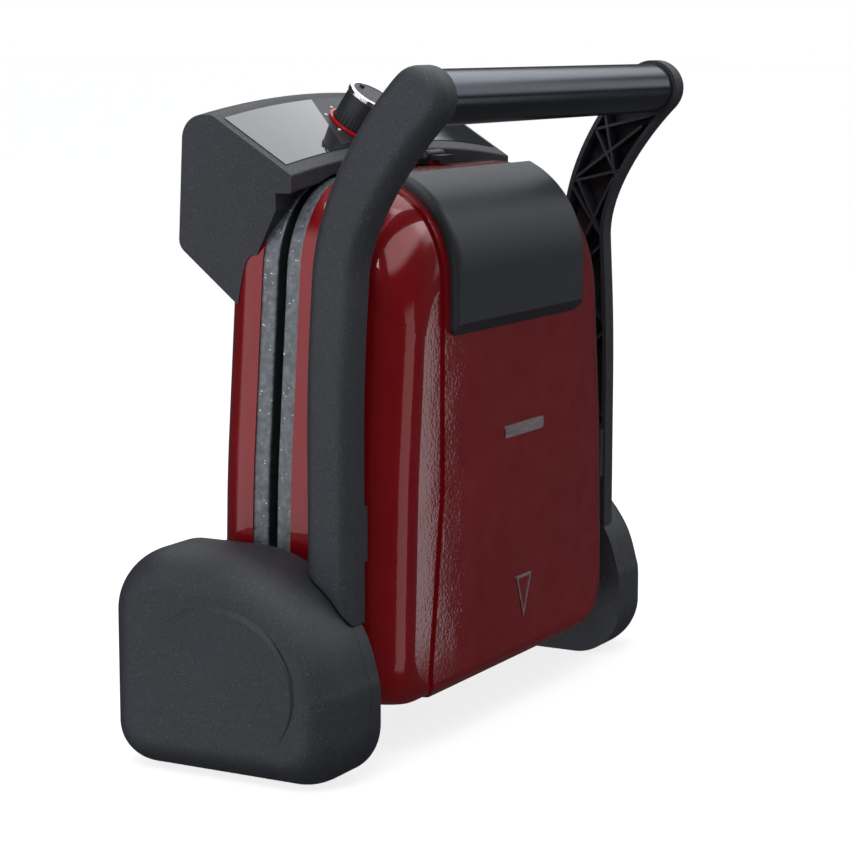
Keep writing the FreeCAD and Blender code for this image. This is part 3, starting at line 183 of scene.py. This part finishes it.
def granite():
    g = Graph("granite_coat")
    g.set(Metallic=0.0, IOR=1.5, Coat_Weight=0.25, Coat_Roughness=0.25)
    mottling = g.noise(260.0, 5.0, 0.65)
    base = g.ramp(mottling, [(0.30, (0.040, 0.045, 0.052)), (0.52, (0.085, 0.095, 0.108)),
                             (0.75, (0.15, 0.165, 0.185))])
    small = g.cells(820.0)
    white = g.maths("MULTIPLY", g.spread(small.outputs["Distance"], 1.0, 0.0, 0.16, 0.30),
                    g.spread(small.outputs["Color"], 0.0, 1.0, 0.80, 0.84))
    big = g.cells(300.0)
    bigger = g.maths("MULTIPLY", g.spread(big.outputs["Distance"], 1.0, 0.0, 0.10, 0.20),
                     g.spread(big.outputs["Color"], 0.0, 1.0, 0.78, 0.82))
    # painted shade: faces whose normal points along Y, where the plates meet, are darkened nearly to
    # black and lose their flecks, standing in for the shade in the gap between the plates
    facing = g.add("ShaderNodeSeparateXYZ")
    g.join(g.add("ShaderNodeTexCoord").outputs["Normal"], facing.inputs["Vector"])
    painted_gap_shade = g.spread(g.maths("ABSOLUTE", facing.outputs["Y"], 0.0), 1.0, 0.12, 0.55, 0.8)
    fleck = g.maths("MULTIPLY", g.maths("MAXIMUM", white, bigger), painted_gap_shade)
    # painted shade: the near-black colour replaces the granite on the gap faces
    shaded = g.mix(painted_gap_shade, (0.008, 0.009, 0.010), base)
    g.drive(Base_Color=g.mix(fleck, shaded, (0.80, 0.82, 0.84)))
    g.drive(Roughness=g.spread(mottling, 0.28, 0.46))
    pebble = g.noise(700.0, 3.0)
    height = g.maths("ADD", pebble, g.maths("MULTIPLY", fleck, 0.35))
    g.drive(Normal=g.bump(height, 0.3, 0.0005))
    return g.material


def steel(name, tone, rough, stretch=(1, 1, 0.05)):
    g = Graph(name)
    g.set(Metallic=1.0, IOR=2.5)
    lines = g.noise(1200.0, 3.0, 0.6, stretch)
    low = tuple(v * 0.88 for v in tone)
    g.drive(Base_Color=g.ramp(g.noise(40.0, 3.0), [(0.3, low), (0.7, tone)]))
    g.drive(Roughness=g.spread(lines, rough * 0.8, rough * 1.25))
    g.drive(Normal=g.bump(lines, 0.12, 0.0002))
    return g.material


def lens(name, tone, glow):
    g = Graph(name)
    g.set(Metallic=0.0, IOR=1.49, Transmission_Weight=0.3)
    g.set(Emission_Strength=glow, Emission_Color=(*tone, 1.0))
    ridges = g.noise(600.0, 2.0)
    dim = tuple(v * 0.75 for v in tone)
    g.drive(Base_Color=g.ramp(ridges, [(0.3, dim), (0.7, tone)]))
    g.drive(Roughness=g.spread(ridges, 0.12, 0.25))
    return g.material


def matt(name, low, high, rough, scale, height):
    g = Graph(name)
    g.set(Metallic=0.0, IOR=1.5)
    grain = g.noise(scale, 4.0)
    g.drive(Base_Color=g.ramp(grain, [(0.3, low), (0.7, high)]))
    g.drive(Roughness=g.spread(grain, rough - 0.08, rough + 0.08))
    g.drive(Normal=g.bump(grain, 0.3, height))
    return g.material


RED = red_enamel()
TEXTURED = moulded_black("textured_black", (0.0168, 0.0186, 0.0243), 0.50, 2400.0, 0.00030, 0.055)
SATIN = moulded_black("satin_black", (0.0135, 0.015, 0.0195), 0.42, 3200.0, 0.00008, 0.006)
GLOSS = gloss_black()
BAR = anodised()
GRANITE = granite()
STEEL = steel("bare_steel", (0.60, 0.60, 0.61), 0.32)
CHROME = steel("polished_chrome", (0.86, 0.87, 0.89), 0.07, (1, 1, 1))
BADGE = steel("satin_badge", (0.42, 0.36, 0.37), 0.30, (0.05, 1, 1))
RED_LENS = lens("red_lens", (0.55, 0.008, 0.012), 0.12)
WHITE = matt("print_white", (0.72, 0.72, 0.72), (0.84, 0.84, 0.84), 0.5, 900.0, 0.0001)
RUBBER = matt("foot_rubber", (0.016, 0.016, 0.017), (0.026, 0.026, 0.028), 0.75, 700.0, 0.0003)
CERAMIC = matt("ceramic_body", (0.62, 0.60, 0.55), (0.74, 0.72, 0.66), 0.6, 500.0, 0.0003)

DRESS = {
    RED: ["lid_shell", "base_shell"],
    TEXTURED: ["arm_left", "arm_right", "pod_cover_left", "pod_cover_right", "pod_housing_left",
               "pod_housing_right", "control_box", "base_bottom_cover"],
    SATIN: ["rest_pad", "lid_frame", "panel_centre", "knob_grip", "knob_cap", "lock_hook", "bar_plugs"],
    GLOSS: ["control_panel"],
    BAR: ["handle_bar"],
    GRANITE: ["lid_grill_plate", "base_grill_plate"],
    STEEL: ["lid_heater", "base_heater", "lid_reflector", "base_reflector", "base_screws", "lid_screws",
            "pod_screws", "hinge_pins", "lid_trunnions", "knob_shaft", "lock_pin"],
    CHROME: ["knob_ring"],
    BADGE: ["lid_badge"],
    RED_LENS: ["indicator_lamps", "dial_ring"],
    WHITE: ["dial_marks"],
    RUBBER: ["counter_feet", "cord_inlet"],
    CERAMIC: ["thermostat", "terminal_block", "thermal_fuse"],
}
for material, names in DRESS.items():
    for name in names:
        piece = NODES[name]
        piece.data.materials.clear()
        piece.data.materials.append(material)

# ---------------------------------------------------------------- camera
VIEW_TURN = math.radians(28.76)
VIEW_DIP = math.radians(8.83)
CAMERA_AT = Vector((-1.2333, -0.6740, 0.37975))
cos_t, sin_t = math.cos(VIEW_TURN), math.sin(VIEW_TURN)
cos_d, sin_d = math.cos(VIEW_DIP), math.sin(VIEW_DIP)
look = Vector((cos_t * cos_d, sin_t * cos_d, -sin_d))
right = Vector((sin_t, -cos_t, 0.0))
upward = Vector((cos_t * sin_d, sin_t * sin_d, cos_d))
lens_data = bpy.data.cameras.new("photo_view")
lens_data.sensor_width = 36.0
lens_data.lens = 105.9
lens_data.clip_start = 0.05
camera = bpy.data.objects.new("photo_view", lens_data)
turn = Matrix((right, upward, -look)).transposed().to_4x4()
camera.matrix_world = Matrix.Translation(CAMERA_AT) @ turn
bpy.context.collection.objects.link(camera)
bpy.context.scene.camera = camera


# ---------------------------------------------------------------- studio
OBJECT_MIDDLE = (0, 0, 0.2)


def softbox(name, at, wide, tall, power, glossy=True):
    """Rectangular area light aimed at the middle of the object; size in metres, power in watts."""
    data = bpy.data.lights.new(name, "AREA")
    data.shape = "RECTANGLE"
    data.size = wide
    data.size_y = tall
    data.energy = power
    light = bpy.data.objects.new(name, data)
    aim = Vector(OBJECT_MIDDLE) - Vector(at)
    light.rotation_euler = aim.to_track_quat("-Z", "Y").to_euler()
    light.location = at
    light.visible_glossy = glossy
    bpy.context.collection.objects.link(light)


softbox("key_left", (-1.3, -0.5, 1.7), 0.9, 0.9, 16.0)
softbox("top", (0.1, 0.3, 2.0), 1.2, 1.2, 14.0)
softbox("back_left", (-1.7, 0.9, 0.5), 0.5, 1.2, 9.0, glossy=False)

world = bpy.data.worlds.new("studio")
bpy.context.scene.world = world
world.use_nodes = True
tree = world.node_tree
tree.nodes.clear()


def sky(kind, **settings):
    node = tree.nodes.new(kind)
    for key, value in settings.items():
        setattr(node, key, value)
    return node


def sky_maths(operation, a, b=None):
    node = sky("ShaderNodeMath", operation=operation)
    for socket, value in zip(node.inputs, (a, b)):
        if value is None:
            continue
        if isinstance(value, (int, float)):
            socket.default_value = value
        else:
            tree.links.new(value, socket)
    return node.outputs["Value"]


def window(value, middle, half, soft):
    """1 inside middle +- half, fading to 0 over soft."""
    away = sky_maths("ABSOLUTE", sky_maths("SUBTRACT", value, middle))
    fade = sky("ShaderNodeMapRange", interpolation_type="SMOOTHSTEP")
    tree.links.new(away, fade.inputs["Value"])
    fade.inputs["From Min"].default_value = half
    fade.inputs["From Max"].default_value = half + soft
    fade.inputs["To Min"].default_value = 1.0
    fade.inputs["To Max"].default_value = 0.0
    return fade.outputs["Result"]


direction = sky("ShaderNodeTexCoord").outputs["Generated"]
split = sky("ShaderNodeSeparateXYZ")
tree.links.new(direction, split.inputs["Vector"])
DEGREES = 180.0 / math.pi
azimuth = sky_maths("MULTIPLY", sky_maths("ARCTAN2", split.outputs["Y"], split.outputs["X"]), DEGREES)
height = sky_maths("MULTIPLY", sky_maths("ARCSINE", split.outputs["Z"]), DEGREES)

# soft panels that the glossy pieces mirror, in degrees round the studio:
# azimuth, half width, softness, height, half height, softness, strength
PANELS = [
    (0.0, 40.0, 12.0, 45.0, 19.0, 7.0, 1.55),
    (-29.0, 9.0, 4.0, 14.0, 7.0, 7.0, 0.75),
    (-31.2, 2.4, 0.6, -9.0, 4.4, 1.6, 1.15),
    (-80.0, 12.0, 2.0, -8.0, 10.0, 6.0, 0.8),
    (-75.0, 40.0, 8.0, 48.0, 14.0, 8.0, 1.8),
    (150.0, 26.0, 14.0, 5.0, 30.0, 15.0, 1.1),
]
DARK_STUDIO = 0.035
total = DARK_STUDIO
for az, az_half, az_soft, up, up_half, up_soft, strength in PANELS:
    across = window(azimuth, az, az_half, az_soft)
    patch = sky_maths("MULTIPLY", across, window(height, up, up_half, up_soft))
    total = sky_maths("ADD", total, sky_maths("MULTIPLY", patch, strength))

path = sky("ShaderNodeLightPath")
COOL_WHITE = (0.95, 0.97, 1.0, 1.0)
backdrop = sky("ShaderNodeBackground")     # what the camera sees behind the object
backdrop.inputs["Color"].default_value = (1.0, 1.0, 1.0, 1.0)
backdrop.inputs["Strength"].default_value = 1.0
seen = sky("ShaderNodeBackground")         # what glossy surfaces mirror
seen.inputs["Color"].default_value = COOL_WHITE
tree.links.new(total, seen.inputs["Strength"])
fill = sky("ShaderNodeBackground")         # what lights matt surfaces
fill.inputs["Color"].default_value = COOL_WHITE
fill.inputs["Strength"].default_value = 0.55
gloss_mix = sky("ShaderNodeMixShader")
tree.links.new(path.outputs["Is Glossy Ray"], gloss_mix.inputs["Fac"])
tree.links.new(fill.outputs["Background"], gloss_mix.inputs[1])
tree.links.new(seen.outputs["Background"], gloss_mix.inputs[2])
blend = sky("ShaderNodeMixShader")
out = sky("ShaderNodeOutputWorld")
tree.links.new(path.outputs["Is Camera Ray"], blend.inputs["Fac"])
tree.links.new(gloss_mix.outputs["Shader"], blend.inputs[1])
tree.links.new(backdrop.outputs["Background"], blend.inputs[2])
tree.links.new(blend.outputs["Shader"], out.inputs["Surface"])

floor_mesh = bpy.data.meshes.new("floor")
REACH = 30.0
floor_mesh.from_pydata([(-REACH, -REACH, 0), (REACH, -REACH, 0), (REACH, REACH, 0), (-REACH, REACH, 0)],
                       [], [(0, 1, 2, 3)])
floor = bpy.data.objects.new("floor", floor_mesh)
floor.visible_glossy = False
bpy.context.collection.objects.link(floor)
floor_look = Graph("floor_pale")
floor_look.set(Roughness=0.7, Base_Color=(0.9, 0.9, 0.9, 1.0), Alpha=0.4)
floor_look.set(Emission_Color=(1, 1, 1, 1), Emission_Strength=0.5)
floor_mesh.materials.append(floor_look.material)

bpy.context.scene.view_settings.view_transform = "Standard"
